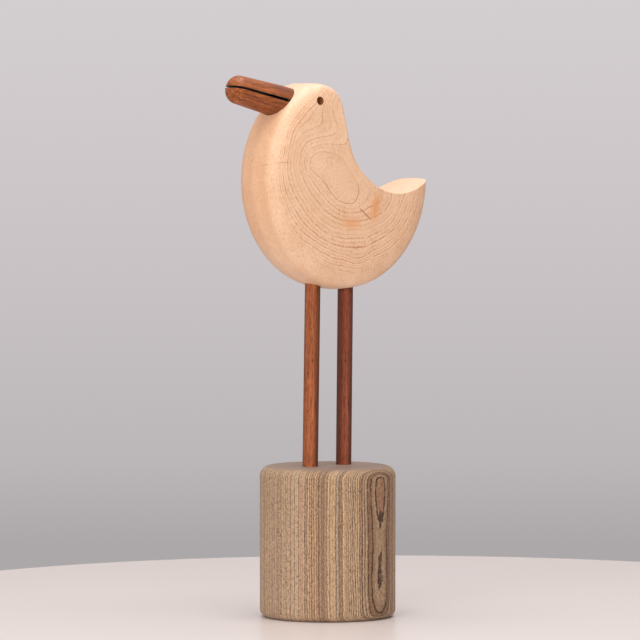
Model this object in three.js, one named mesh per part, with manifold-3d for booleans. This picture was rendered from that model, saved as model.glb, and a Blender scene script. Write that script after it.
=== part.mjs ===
// Wooden bird standing on two dowel legs in a round block of laminated wood.
//
// Millimetres, +Z up. The origin is the centre of the block's underside. The bird looks along -X,
// and its middle plane is the XZ plane. Five pieces: base_block, front_leg, rear_leg, bird_body, beak.

import * as THREE from 'three';
import { mergeVertices } from 'three/addons/utils/BufferGeometryUtils.js';
import Module from 'manifold-3d';

const wasm = await Module();
wasm.setup();

// ---------------------------------------------------------------- driving dimensions

// Base block: a turned cylinder with rounded rims.
const BASE_RADIUS = 35;
const BASE_HEIGHT = 78;
const BASE_TOP_ROUNDING = 5.5;
const BASE_FOOT_ROUNDING = 4;
const BASE_SIDES = 72;

// Legs: two 8 mm dowels in the middle plane, each leaning a little towards the tail.
const LEG_RADIUS = 4;
const LEG_SPACING = 23.2;
const LEG_MIDPOINT_X = -0.5;
const FRONT_LEG_LEAN = THREE.MathUtils.degToRad(1.05);
const REAR_LEG_LEAN = THREE.MathUtils.degToRad(0.75);
const LEG_DEPTH_IN_BASE = 20;
const LEG_DEPTH_IN_BODY = 18;
const LEG_END_CHAMFER = 0.8;
const LEG_SIDES = 32;

// Body: a thick turned disc whose axis lies along Y, with its back, neck and head cut out of it.
const BODY_RADIUS = 56.4;
const BODY_CENTRE_X = 4.7;
const BODY_CENTRE_Z = 225.2;
const BODY_SIDES = 88;

// Half of the disc's section, from the middle of its cheek out to the crease round its rim.
const CHEEK_HALF_THICKNESS = 16.2;
const CHEEK_DOME_RADIUS = 680;
const SHOULDER_START_RADIUS = 44;
const SHOULDER_CORNER = new THREE.Vector2(54.9, 14.1);
const SHOULDER_END_HALF_THICKNESS = 7.5;
const RIM_SLOPE = 0.117;

// Side outline, measured from the disc's centre: straight tail, hollow back, straight neck that
// leans forward, round crown, flat top.
const BACK_ARC_RADIUS = 35.3;
const BACK_ARC_CENTRE = new THREE.Vector2(31.4, 28);
const TAIL_RISE = THREE.MathUtils.degToRad(23);
const NECK_LEAN = THREE.MathUtils.degToRad(12);
const HEAD_TOP = 49.6;
const CROWN_RADIUS = 15.5;

// Eyes: one hole drilled across the head, open on both cheeks.
const EYE_RADIUS = 2.1;
const EYE_FORWARD = 22.8;
const EYE_HEIGHT = 40.6;
const EYE_SIDES = 20;

// Beak: a tapered round rod with a blunt end, split by the mouth, and let into the head.
const BEAK_RIM_ANGLE = THREE.MathUtils.degToRad(45.8);
const BEAK_PITCH = THREE.MathUtils.degToRad(12.4);
const BEAK_LENGTH = 32.4;
const BEAK_DEPTH_IN_HEAD = 9;
const BEAK_ROOT_RADIUS = 8.3;
const BEAK_TIP_RADIUS = 7.3;
const BEAK_TIP_ROUNDING = 5.5;
const BEAK_SIDES = 40;
const MOUTH_HEIGHT_ABOVE_AXIS = 0.5;
const MOUTH_GAP_AT_HEAD = 1.4;
const MOUTH_GAP_AT_TIP = 1;

// Room round a glued piece in its hole, and how far a cutting tool runs past what it cuts.
const CLEARANCE = 0.3;
const OVERRUN = 5;

// Fineness: points along the rounded edges, the cheek, the shoulder and the sawn back.
const ROUNDING_STEPS = 3;
const DOME_STEPS = 4;
const SHOULDER_STEPS = 9;
const SAWN_ARC_STEPS = 14;

// ---------------------------------------------------------------- solids and booleans

function solidOf(geometry) {
  const bare = geometry.clone();
  bare.deleteAttribute('normal');
  bare.deleteAttribute('uv');
  const merged = mergeVertices(bare, 1e-4);
  const corners = merged.index.array;
  const triangles = [];
  for (let i = 0; i < corners.length; i += 3) {
    const [a, b, c] = corners.slice(i, i + 3);
    if (a !== b && b !== c && c !== a) {
      triangles.push(a, b, c);
    }
  }
  return new wasm.Manifold(new wasm.Mesh({
    numProp: 3,
    vertProperties: merged.attributes.position.array,
    triVerts: new Uint32Array(triangles),
  }));
}

function geometryOf(solid) {
  const mesh = solid.getMesh();
  const geometry = new THREE.BufferGeometry();
  geometry.setAttribute('position', new THREE.BufferAttribute(mesh.vertProperties, 3));
  geometry.setIndex(new THREE.BufferAttribute(mesh.triVerts, 1));
  geometry.computeVertexNormals();
  return geometry;
}

function cut(geometry, tools) {
  let solid = solidOf(geometry);
  for (const tool of tools) {
    solid = solid.subtract(solidOf(tool));
  }
  return geometryOf(solid);
}

// A solid of revolution about Z from a profile of (radius, height) that starts and ends on the axis.
function turnedAboutZ(points, sides) {
  return new THREE.LatheGeometry(points, sides).rotateX(Math.PI / 2);
}

function rodAboutZ(radius, bottom, top, sides) {
  const profile = [
    new THREE.Vector2(0, bottom),
    new THREE.Vector2(radius, bottom),
    new THREE.Vector2(radius, top),
    new THREE.Vector2(0, top),
  ];
  return turnedAboutZ(profile, sides);
}

function meshOf(name, geometry, colour, roughness) {
  const material = new THREE.MeshStandardMaterial({ color: colour, roughness, metalness: 0 });
  const mesh = new THREE.Mesh(geometry, material);
  mesh.name = name;
  return mesh;
}

// ---------------------------------------------------------------- where the pieces go

const BODY_CENTRE = new THREE.Vector3(BODY_CENTRE_X, 0, BODY_CENTRE_Z);

// Each leg's own frame has its origin where its axis leaves the block, and +Z along the leg.
function legFrame(offset, lean) {
  const frame = new THREE.Matrix4().makeRotationY(lean);
  return frame.setPosition(LEG_MIDPOINT_X + offset, 0, BASE_HEIGHT);
}

const LEG_FRAMES = {
  front_leg: legFrame(-LEG_SPACING / 2, FRONT_LEG_LEAN),
  rear_leg: legFrame(LEG_SPACING / 2, REAR_LEG_LEAN),
};

// How far up its axis a leg meets the belly.
function legBellyDistance(frame) {
  const foot = new THREE.Vector3().setFromMatrixPosition(frame);
  const along = new THREE.Vector3().setFromMatrixColumn(frame, 2);
  const belly = new THREE.Sphere(BODY_CENTRE, BODY_RADIUS);
  const hit = new THREE.Ray(foot, along).intersectSphere(belly, new THREE.Vector3());
  return hit.distanceTo(foot);
}

// The beak's frame has its origin where its axis leaves the disc's rim, +Z towards the tip, +X up.
const BEAK_FRAME = new THREE.Matrix4()
  .makeRotationY(BEAK_PITCH - Math.PI / 2)
  .setPosition(
    BODY_CENTRE_X - BODY_RADIUS * Math.cos(BEAK_RIM_ANGLE),
    0,
    BODY_CENTRE_Z + BODY_RADIUS * Math.sin(BEAK_RIM_ANGLE),
  );

// ---------------------------------------------------------------- base block

function baseBlock() {
  const rim = new THREE.Path();
  rim.moveTo(0, 0);
  rim.lineTo(BASE_RADIUS - BASE_FOOT_ROUNDING, 0);
  rim.absarc(BASE_RADIUS - BASE_FOOT_ROUNDING, BASE_FOOT_ROUNDING, BASE_FOOT_ROUNDING, -Math.PI / 2, 0);
  rim.lineTo(BASE_RADIUS, BASE_HEIGHT - BASE_TOP_ROUNDING);
  rim.absarc(
    BASE_RADIUS - BASE_TOP_ROUNDING,
    BASE_HEIGHT - BASE_TOP_ROUNDING,
    BASE_TOP_ROUNDING,
    0,
    Math.PI / 2,
  );
  rim.lineTo(0, BASE_HEIGHT);
  const block = turnedAboutZ(rim.getPoints(ROUNDING_STEPS), BASE_SIDES);
  const sockets = Object.values(LEG_FRAMES).map((frame) => {
    const socketBottom = -LEG_DEPTH_IN_BASE - CLEARANCE;
    return rodAboutZ(LEG_RADIUS + CLEARANCE, socketBottom, OVERRUN, LEG_SIDES).applyMatrix4(frame);
  });
  return cut(block, sockets);
}

// ---------------------------------------------------------------- legs

function leg(frame) {
  const bottom = -LEG_DEPTH_IN_BASE;
  const top = legBellyDistance(frame) + LEG_DEPTH_IN_BODY;
  const profile = [
    new THREE.Vector2(0, bottom),
    new THREE.Vector2(LEG_RADIUS - LEG_END_CHAMFER, bottom),
    new THREE.Vector2(LEG_RADIUS, bottom + LEG_END_CHAMFER),
    new THREE.Vector2(LEG_RADIUS, top - LEG_END_CHAMFER),
    new THREE.Vector2(LEG_RADIUS - LEG_END_CHAMFER, top),
    new THREE.Vector2(0, top),
  ];
  return geometryOf(solidOf(turnedAboutZ(profile, LEG_SIDES)));
}

// ---------------------------------------------------------------- bird's body

// Half-thickness of the gently domed cheek at a distance from the disc's axis.
function cheekHalfThickness(radius) {
  return CHEEK_HALF_THICKNESS - radius ** 2 / (2 * CHEEK_DOME_RADIUS);
}

// The disc's section: domed cheeks, soft shoulders, and a rim that rises to a slight crease.
function discProfile() {
  const shoulder = new THREE.Vector2(SHOULDER_START_RADIUS, cheekHalfThickness(SHOULDER_START_RADIUS));
  const rimEdge = new THREE.Vector2(
    BODY_RADIUS - RIM_SLOPE * SHOULDER_END_HALF_THICKNESS,
    SHOULDER_END_HALF_THICKNESS,
  );
  const half = [];
  for (let i = 0; i < DOME_STEPS; i += 1) {
    const radius = SHOULDER_START_RADIUS * i / DOME_STEPS;
    half.push(new THREE.Vector2(radius, cheekHalfThickness(radius)));
  }
  const shoulderCurve = new THREE.QuadraticBezierCurve(shoulder, SHOULDER_CORNER, rimEdge);
  half.push(...shoulderCurve.getPoints(SHOULDER_STEPS));
  const farSide = half.map((point) => new THREE.Vector2(point.x, -point.y));
  return [...farSide, new THREE.Vector2(BODY_RADIUS, 0), ...half.reverse()];
}

// The wood that is sawn away above the tail, back, neck and head, as one solid across the disc.
function backAndHeadCutter() {
  const crownTurn = Math.PI / 2 - NECK_LEAN;
  const neckFoot = new THREE.Vector2(-Math.cos(NECK_LEAN), -Math.sin(NECK_LEAN))
    .multiplyScalar(BACK_ARC_RADIUS)
    .add(BACK_ARC_CENTRE);
  const neckCorner = new THREE.Vector2(
    neckFoot.x - Math.tan(NECK_LEAN) * (HEAD_TOP - neckFoot.y),
    HEAD_TOP,
  );
  const crownCentre = new THREE.Vector2(
    neckCorner.x - CROWN_RADIUS * Math.tan(crownTurn / 2),
    HEAD_TOP - CROWN_RADIUS,
  );
  const tailRoot = new THREE.Vector2(Math.sin(TAIL_RISE), -Math.cos(TAIL_RISE))
    .multiplyScalar(BACK_ARC_RADIUS)
    .add(BACK_ARC_CENTRE);
  const outside = BODY_RADIUS + OVERRUN;
  const outline = new THREE.Shape();
  outline.moveTo(outside, tailRoot.y + Math.tan(TAIL_RISE) * (outside - tailRoot.x));
  outline.lineTo(outside, outside);
  outline.lineTo(-outside, outside);
  outline.lineTo(-outside, HEAD_TOP);
  outline.lineTo(crownCentre.x, HEAD_TOP);
  outline.absarc(crownCentre.x, crownCentre.y, CROWN_RADIUS, Math.PI / 2, NECK_LEAN, true);
  outline.absarc(
    BACK_ARC_CENTRE.x,
    BACK_ARC_CENTRE.y,
    BACK_ARC_RADIUS,
    Math.PI + NECK_LEAN,
    1.5 * Math.PI + TAIL_RISE,
  );
  outline.closePath();
  const width = 2 * (CHEEK_HALF_THICKNESS + OVERRUN);
  const cutter = new THREE.ExtrudeGeometry(outline, {
    depth: width,
    bevelEnabled: false,
    curveSegments: SAWN_ARC_STEPS,
  });
  return cutter.translate(0, 0, -width / 2).rotateX(Math.PI / 2);
}

function birdBody() {
  const toCentre = new THREE.Matrix4().setPosition(BODY_CENTRE);
  const disc = new THREE.LatheGeometry(discProfile(), BODY_SIDES).applyMatrix4(toCentre);
  const eyeLength = CHEEK_HALF_THICKNESS + OVERRUN;
  const eye = rodAboutZ(EYE_RADIUS, -eyeLength, eyeLength, EYE_SIDES)
    .rotateX(Math.PI / 2)
    .translate(-EYE_FORWARD, 0, EYE_HEIGHT);
  const beakSocket = rodAboutZ(
    BEAK_ROOT_RADIUS + CLEARANCE,
    -BEAK_DEPTH_IN_HEAD - CLEARANCE,
    BEAK_LENGTH,
    BEAK_SIDES,
  );
  const legSockets = Object.values(LEG_FRAMES).map((frame) => {
    const belly = legBellyDistance(frame);
    const end = belly + LEG_DEPTH_IN_BODY + CLEARANCE;
    return rodAboutZ(LEG_RADIUS + CLEARANCE, belly - OVERRUN, end, LEG_SIDES).applyMatrix4(frame);
  });
  return cut(disc, [
    backAndHeadCutter().applyMatrix4(toCentre),
    eye.applyMatrix4(toCentre),
    beakSocket.applyMatrix4(BEAK_FRAME),
    ...legSockets,
  ]);
}

// ---------------------------------------------------------------- beak

function beak() {
  const profile = new THREE.Path();
  profile.moveTo(0, -BEAK_DEPTH_IN_HEAD);
  profile.lineTo(BEAK_ROOT_RADIUS, -BEAK_DEPTH_IN_HEAD);
  profile.lineTo(BEAK_ROOT_RADIUS, 0);
  profile.lineTo(BEAK_TIP_RADIUS, BEAK_LENGTH - BEAK_TIP_ROUNDING);
  profile.absarc(
    BEAK_TIP_RADIUS - BEAK_TIP_ROUNDING,
    BEAK_LENGTH - BEAK_TIP_ROUNDING,
    BEAK_TIP_ROUNDING,
    0,
    Math.PI / 2,
  );
  profile.lineTo(0, BEAK_LENGTH);
  return cut(turnedAboutZ(profile.getPoints(ROUNDING_STEPS), BEAK_SIDES), [mouthCutter()]);
}

// A wedge-shaped saw cut across the beak, wider at the head than at the tip.
function mouthCutter() {
  const wider = MOUTH_GAP_AT_HEAD / 2;
  const narrower = MOUTH_GAP_AT_TIP / 2;
  const pastTip = BEAK_LENGTH + OVERRUN;
  const section = new THREE.Shape();
  section.moveTo(-wider, 0);
  section.lineTo(wider, 0);
  section.lineTo(narrower, pastTip);
  section.lineTo(-narrower, pastTip);
  section.closePath();
  const width = 2 * (BEAK_ROOT_RADIUS + OVERRUN);
  const wedge = new THREE.ExtrudeGeometry(section, { depth: width, bevelEnabled: false });
  return wedge.translate(MOUTH_HEIGHT_ABOVE_AXIS, 0, -width / 2).rotateX(Math.PI / 2);
}

// ---------------------------------------------------------------- assembly

const laminate = 0x9c8468;
const maple = 0xedbe96;
const walnut = 0xa5643f;
const darkWalnut = 0x82503a;

const bird = new THREE.Group();
bird.add(meshOf('base_block', baseBlock(), laminate, 0.6));
bird.add(meshOf('bird_body', birdBody(), maple, 0.5));

for (const [name, frame] of Object.entries(LEG_FRAMES)) {
  const mesh = meshOf(name, leg(frame), darkWalnut, 0.5);
  mesh.applyMatrix4(frame);
  bird.add(mesh);
}

const beakMesh = meshOf('beak', beak(), walnut, 0.5);
beakMesh.applyMatrix4(BEAK_FRAME);
bird.add(beakMesh);

export default bird;
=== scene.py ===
"""Looks of a wooden bird ornament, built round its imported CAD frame.

The bird stands on two walnut dowels in a round block of laminated wood. It looks towards -X, the XZ plane
is its middle plane, and Z = 0 is the block's underside. Shapes are worked out in millimetres and scaled to
metres when a mesh is made. Every wood is a procedural material in the same coordinates, so its grain runs
through the piece as it does in real wood.
"""

import math

import bmesh
import bpy
import numpy as np
from mathutils import Matrix, Vector
from mathutils.geometry import delaunay_2d_cdt


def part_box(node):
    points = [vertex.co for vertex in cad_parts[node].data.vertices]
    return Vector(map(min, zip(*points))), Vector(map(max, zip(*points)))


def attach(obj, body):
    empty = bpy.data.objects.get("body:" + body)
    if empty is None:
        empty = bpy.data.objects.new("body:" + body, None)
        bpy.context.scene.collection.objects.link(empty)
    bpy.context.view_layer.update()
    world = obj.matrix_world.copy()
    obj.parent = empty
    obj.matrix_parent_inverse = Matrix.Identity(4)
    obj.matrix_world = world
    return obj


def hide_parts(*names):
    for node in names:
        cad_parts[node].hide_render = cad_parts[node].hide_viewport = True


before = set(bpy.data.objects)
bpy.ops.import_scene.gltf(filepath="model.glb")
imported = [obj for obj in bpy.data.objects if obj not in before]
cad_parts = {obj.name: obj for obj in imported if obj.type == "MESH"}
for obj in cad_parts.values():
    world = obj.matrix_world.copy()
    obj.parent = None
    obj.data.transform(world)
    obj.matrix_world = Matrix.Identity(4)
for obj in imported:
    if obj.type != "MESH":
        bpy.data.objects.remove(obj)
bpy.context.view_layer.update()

MM = 0.001

# ---------- sizes read from the frame, in millimetres


def box_mm(node):
    low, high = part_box(node)
    return low / MM, high / MM


BASE_LOW, BASE_HIGH = box_mm("base_block")
BASE_RADIUS = (BASE_HIGH.x - BASE_LOW.x) / 2
BASE_HEIGHT = BASE_HIGH.z

BODY_LOW, BODY_HIGH = box_mm("bird_body")
BODY_RADIUS = (BODY_HIGH.x - BODY_LOW.x) / 2
BODY_CENTRE = Vector(((BODY_HIGH.x + BODY_LOW.x) / 2, 0, BODY_LOW.z + BODY_RADIUS))
CHEEK_HALF_THICKNESS = BODY_HIGH.y
HEAD_TOP = BODY_HIGH.z - BODY_CENTRE.z

# ---------- sizes that the CAD design also names

BASE_TOP_ROUNDING = 5.5
BASE_FOOT_ROUNDING = 4

LEG_RADIUS = 4
LEG_LEANS = {"front_leg": math.radians(1.05), "rear_leg": math.radians(0.75)}
LEG_END_CHAMFER = 0.8

# The disc's section: a domed cheek, then a shoulder curve drawn towards its corner, then the rim.
CHEEK_DOME_RADIUS = 680
SHOULDER_START_RADIUS = 44
SHOULDER_CORNER = Vector((54.9, 14.1))
SHOULDER_END_HALF_THICKNESS = 7.5
RIM_SLOPE = 0.117
RIM_CREASE_SOFTNESS = 1.0

# The sawn outline, from the disc's centre, with X towards the tail.
BACK_ARC_RADIUS = 35.3
BACK_ARC_CENTRE = Vector((31.4, 28))
FOREHEAD_ROUNDING = 19.5
TAIL_RISE = math.radians(23)
NECK_LEAN = math.radians(12)
CROWN_RADIUS = 15.5

EYE_RADIUS = 2.1
EYE_FORWARD = 22.8
EYE_HEIGHT = 40.6

BEAK_RIM_ANGLE = math.radians(45.8)
BEAK_PITCH = math.radians(12.4)
BEAK_LENGTH = 32.4
BEAK_DEPTH_IN_HEAD = 9
BEAK_ROOT_RADIUS = 8.3
BEAK_TIP_RADIUS = 7.3
BEAK_TIP_ROUNDING = 5.5
MOUTH_HEIGHT_ABOVE_AXIS = 0.5
MOUTH_GAP_AT_HEAD = 1.4
MOUTH_GAP_AT_TIP = 1.0

# ---------- finish of the edges and joints

GLUE_GAP = 0.04

# The sawn edge's rounding: roundest on the forehead, over a run from its start, and then soft to the neck.
# Beyond the neck it turns crisp between two shares of the way to the tail's tip.
HEAD_EDGE = 3.6
HEAD_EDGE_RUN = 20
HEAD_SPREAD = 1.2
SOFT_EDGE = 1.9
CRISP_EDGE = 0.35
SOFT_EDGE_END = 0.12
CRISP_EDGE_START = 0.42
EDGE_SHARE_OF_THICKNESS = 0.4

EYE_LIP = 0.12
MOUTH_EDGE = 0.18
MOUTH_EDGE_SEGMENTS = 2
SHARP_OVER = math.radians(45)
SMOOTH_UNDER = math.radians(40)
OVERRUN = 5

# ---------- mesh tools

# Below these distances, in metres, points are welded and edges count as nothing.
WELD = 1e-7
DEGENERATE = 1e-8

# Below these distances, in millimetres, a point is on the axis or on a line, and two points are the same.
ON_AXIS = 1e-6
ON_LINE = 1e-4
SAME_POINT = 1e-5


def piece_from(name, points_mm, faces):
    """A mesh object from points in millimetres in the row frame."""
    mesh = bpy.data.meshes.new(name)
    mesh.from_pydata([Vector(p) * MM for p in points_mm], [], faces)
    piece = bpy.data.objects.new(name, mesh)
    bpy.context.scene.collection.objects.link(piece)
    cleaned(piece)
    return piece


def cleaned(piece):
    """Welds points that coincide and makes the faces look outwards."""
    shape = bmesh.new()
    shape.from_mesh(piece.data)
    bmesh.ops.remove_doubles(shape, verts=shape.verts, dist=WELD)
    bmesh.ops.dissolve_degenerate(shape, edges=shape.edges, dist=DEGENERATE)
    bmesh.ops.recalc_face_normals(shape, faces=shape.faces)
    shape.to_mesh(piece.data)
    shape.free()


def turned(name, profile, sides, place=None):
    """A solid turned about Z from (radius, height) points that start and end on the axis."""
    place = place or Matrix.Identity(4)
    points = []
    rows = []
    for radius, height in profile:
        if radius < ON_AXIS:
            rows.append([len(points)] * sides)
            points.append(place @ Vector((0, 0, height)))
            continue
        rows.append([len(points) + i for i in range(sides)])
        for i in range(sides):
            turn = 2 * math.pi * i / sides
            points.append(place @ Vector((radius * math.cos(turn), radius * math.sin(turn), height)))
    faces = []
    for lower, upper in zip(rows, rows[1:]):
        for i in range(sides):
            j = (i + 1) % sides
            corners = [lower[i], lower[j], upper[j], upper[i]]
            faces.append(list(dict.fromkeys(corners)))
    return piece_from(name, points, faces)


def bore(radius, bottom, top):
    """The outline of a plain round cutter."""
    return [(0, bottom), (radius, bottom), (radius, top), (0, top)]


def arc(centre, radius, start, end, steps):
    """Points of an arc, from the start angle to the end angle, both included."""
    turns = [start + (end - start) * i / steps for i in range(steps + 1)]
    return [(centre[0] + radius * math.cos(t), centre[1] + radius * math.sin(t)) for t in turns]


def carved(piece, cutters):
    """Cuts the cutters out of the piece, and removes them."""
    for cutter in cutters:
        cut = piece.modifiers.new(cutter.name, "BOOLEAN")
        cut.operation = "DIFFERENCE"
        cut.solver = "EXACT"
        cut.object = cutter
    finished(piece)
    for cutter in cutters:
        bpy.data.objects.remove(cutter)


def finished(piece):
    """Applies the piece's modifiers."""
    depsgraph = bpy.context.evaluated_depsgraph_get()
    final = bpy.data.meshes.new_from_object(piece.evaluated_get(depsgraph))
    piece.modifiers.clear()
    piece.data = final


def softened(piece, width, segments, angle):
    """Rounds the piece's sharp edges a little."""
    bevel = piece.modifiers.new("soft_edges", "BEVEL")
    bevel.width = width * MM
    bevel.segments = segments
    bevel.limit_method = "ANGLE"
    bevel.angle_limit = angle
    bevel.harden_normals = False
    finished(piece)


def coated(piece, material):
    """Material and smooth shading."""
    piece.data.materials.clear()
    piece.data.materials.append(material)
    piece.data.shade_smooth()
    piece.data.set_sharp_from_angle(angle=SMOOTH_UNDER)


def dressed(piece, material, node):
    """Material, smooth shading, and the piece's place in the frame."""
    coated(piece, material)
    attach(piece, "root")
    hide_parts(node)


# ---------- frames of the legs and the beak


def leg_frame(node):
    """The leg's own frame: origin at the middle of its length, +Z along the leg; and the leg's length."""
    low, high = box_mm(node)
    lean = LEG_LEANS[node]
    length = (high.z - low.z) / math.cos(lean) - 2 * (LEG_RADIUS - LEG_END_CHAMFER) * math.tan(lean)
    return Matrix.Translation((low + high) / 2) @ Matrix.Rotation(lean, 4, "Y"), length


def beak_frame():
    """Origin where the beak's axis leaves the rim, +Z towards the tip, +X up."""
    out = Vector((-math.cos(BEAK_RIM_ANGLE), 0, math.sin(BEAK_RIM_ANGLE)))
    turn = Matrix.Rotation(BEAK_PITCH - math.pi / 2, 4, "Y")
    return Matrix.Translation(BODY_CENTRE + BODY_RADIUS * out) @ turn


# ---------- base block and legs

BASE_SIDES = 192
BASE_FOOT_STEPS = 8
BASE_WALL_STEPS = 6
BASE_TOP_STEPS = 10
LEG_SIDES = 64
LEG_STEPS = 8


def base_block():
    foot = BASE_FOOT_ROUNDING
    top = BASE_TOP_ROUNDING
    profile = [(0, 0)]
    profile += arc((BASE_RADIUS - foot, foot), foot, -math.pi / 2, 0, BASE_FOOT_STEPS)
    profile += [(BASE_RADIUS, BASE_HEIGHT * i / BASE_WALL_STEPS) for i in range(1, BASE_WALL_STEPS)]
    profile += arc((BASE_RADIUS - top, BASE_HEIGHT - top), top, 0, math.pi / 2, BASE_TOP_STEPS)
    profile += [(0, BASE_HEIGHT)]
    block = turned("turned_block", profile, BASE_SIDES)
    carved(block, leg_cutters(-1))
    return block


def leg_cutters(end):
    """Cutters for the legs' sockets: round their feet for an end of -1, round their tops for an end of 1."""
    cutters = []
    for node in LEG_LEANS:
        place, length = leg_frame(node)
        socket = bore(LEG_RADIUS + GLUE_GAP, *sorted((0, end * (length / 2 + GLUE_GAP))))
        cutters.append(turned(f"{node}_cutter", socket, LEG_SIDES, place))
    return cutters


def leg(node, name):
    place, length = leg_frame(node)
    end = length / 2
    chamfer = LEG_END_CHAMFER
    profile = [(0, -end), (LEG_RADIUS - chamfer, -end), (LEG_RADIUS, chamfer - end)]
    profile += [(LEG_RADIUS, length * (i / LEG_STEPS - 0.5)) for i in range(1, LEG_STEPS)]
    profile += [(LEG_RADIUS, end - chamfer), (LEG_RADIUS - chamfer, end), (0, end)]
    return turned(name, profile, LEG_SIDES, place)


# ---------- bird's body

DISC_SIDES = 240
CHEEK_RING_GAP = 2.2
SHOULDER_STEPS = 14
RIM_HEIGHTS = (6, 4.5, 3.2, 2.2, 1.4, 0.8, 0.35, 0)
EDGE_STEPS = 6
WALL_STEPS = 5
OUTLINE_GAP = 1.0
ROW_GAP = 0.3
THINNEST_ROW = 0.02
SOCKET_SIDES = 160
EYE_SIDES = 48
EYE_LIP_STEPS = 4


def rim_radius(height):
    """Radius of the rim at a height from the middle plane, with the crease there softened."""
    soft = RIM_CREASE_SOFTNESS
    return BODY_RADIUS - RIM_SLOPE * (math.hypot(height, soft) - soft)


SHOULDER_START = Vector((SHOULDER_START_RADIUS, CHEEK_HALF_THICKNESS
                         - SHOULDER_START_RADIUS ** 2 / (2 * CHEEK_DOME_RADIUS)))
SHOULDER_END = Vector((rim_radius(SHOULDER_END_HALF_THICKNESS), SHOULDER_END_HALF_THICKNESS))


def disc_half_thickness(radius):
    """Half-thickness of the whole disc at distances from its axis."""
    radius = np.asarray(radius, float)
    cheek = CHEEK_HALF_THICKNESS - radius ** 2 / (2 * CHEEK_DOME_RADIUS)
    bend = SHOULDER_START.x - 2 * SHOULDER_CORNER.x + SHOULDER_END.x
    run = SHOULDER_CORNER.x - SHOULDER_START.x
    inside = np.maximum(run ** 2 - bend * (SHOULDER_START.x - radius), 0)
    step = np.clip((-run + np.sqrt(inside)) / bend, 0, 1)
    shoulder = ((1 - step) ** 2 * SHOULDER_START.y + 2 * step * (1 - step) * SHOULDER_CORNER.y
                + step ** 2 * SHOULDER_END.y)
    soft = RIM_CREASE_SOFTNESS
    rise = np.maximum(BODY_RADIUS - radius, 0) / RIM_SLOPE + soft
    rim = np.sqrt(np.maximum(rise ** 2 - soft ** 2, 0))
    return np.where(radius < SHOULDER_START.x, cheek, np.where(radius < SHOULDER_END.x, shoulder, rim))


def disc_radii():
    """Radii of the rings that follow the shoulder and the rim."""
    steps = [i / SHOULDER_STEPS for i in range(SHOULDER_STEPS + 1)]
    shoulder = [(1 - t) ** 2 * SHOULDER_START.x + 2 * t * (1 - t) * SHOULDER_CORNER.x
                + t ** 2 * SHOULDER_END.x for t in steps]
    return shoulder + [rim_radius(h) for h in RIM_HEIGHTS]


def along(start, end, crossings):
    """Points of a straight stretch, with one wherever it crosses a circle of the given radii."""
    start, end = Vector(start), Vector(end)
    run = end - start
    length = run.length
    steps = max(1, round(length / OUTLINE_GAP))
    shares = {round(i / steps, 6) for i in range(steps + 1)}
    for radius in crossings:
        half = start.dot(run) / length ** 2
        square = half ** 2 - (start.length_squared - radius ** 2) / length ** 2
        if square > 0:
            for share in (-half - math.sqrt(square), -half + math.sqrt(square)):
                if 1e-4 < share < 1 - 1e-4:
                    shares.add(round(share, 6))
    return [tuple(start + run * share) for share in sorted(shares)]


def sawn_outline():
    """The sawn outline from the forehead to the tail's tip, as points, inward normals and edge radii."""
    neck = Vector((math.cos(NECK_LEAN), math.sin(NECK_LEAN)))
    tail = Vector((math.sin(TAIL_RISE), -math.cos(TAIL_RISE)))
    neck_foot = BACK_ARC_CENTRE - BACK_ARC_RADIUS * neck
    tail_root = BACK_ARC_CENTRE + BACK_ARC_RADIUS * tail
    corner_x = neck_foot.x - math.tan(NECK_LEAN) * (HEAD_TOP - neck_foot.y)
    crown_x = corner_x - CROWN_RADIUS * math.tan((math.pi / 2 - NECK_LEAN) / 2)
    crown = Vector((crown_x, HEAD_TOP - CROWN_RADIUS))
    rise = Vector((math.cos(TAIL_RISE), math.sin(TAIL_RISE)))
    half = tail_root.dot(rise)
    to_tip = -half + math.sqrt(half ** 2 + BODY_RADIUS ** 2 - tail_root.length_squared)
    tip = tail_root + rise * to_tip

    # The forehead's arc starts where its circle meets the disc's rim.
    brow = Vector((crown_x, HEAD_TOP - FOREHEAD_ROUNDING))
    reach = (BODY_RADIUS ** 2 - FOREHEAD_ROUNDING ** 2 + brow.length_squared) / (2 * brow.length)
    aside = math.sqrt(BODY_RADIUS ** 2 - reach ** 2)
    outer = brow.normalized()
    meeting = outer * reach + Vector((outer.y, -outer.x)) * aside - brow
    brow_turn = math.atan2(meeting.y, meeting.x)
    brow_steps = round(FOREHEAD_ROUNDING * (brow_turn - math.pi / 2) / OUTLINE_GAP)
    brow_points = arc(brow, FOREHEAD_ROUNDING, brow_turn, math.pi / 2, brow_steps)

    radii = disc_radii()
    crown_steps = round(CROWN_RADIUS * (math.pi / 2 - NECK_LEAN) / OUTLINE_GAP)
    back_start = math.pi + NECK_LEAN
    back_turn = math.pi / 2 + TAIL_RISE - NECK_LEAN
    back_steps = round(BACK_ARC_RADIUS * back_turn / OUTLINE_GAP)
    stretches = [
        *[along(start, end, radii) for start, end in zip(brow_points, brow_points[1:])],
        arc(crown, CROWN_RADIUS, math.pi / 2, NECK_LEAN, crown_steps),
        along(crown + CROWN_RADIUS * neck, neck_foot, ()),
        arc(BACK_ARC_CENTRE, BACK_ARC_RADIUS, back_start, back_start + back_turn, back_steps),
        along(tail_root, tip, radii),
    ]
    points = np.array([p for stretch in stretches for p in stretch])
    keep = np.r_[True, np.linalg.norm(np.diff(points, axis=0), axis=1) > SAME_POINT]
    points = points[keep]
    ahead = np.gradient(points, axis=0)
    ahead /= np.linalg.norm(ahead, axis=1)[:, None]
    inward = np.stack([ahead[:, 1], -ahead[:, 0]], axis=1)
    return points, inward, edge_radii(points, inward)


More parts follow.
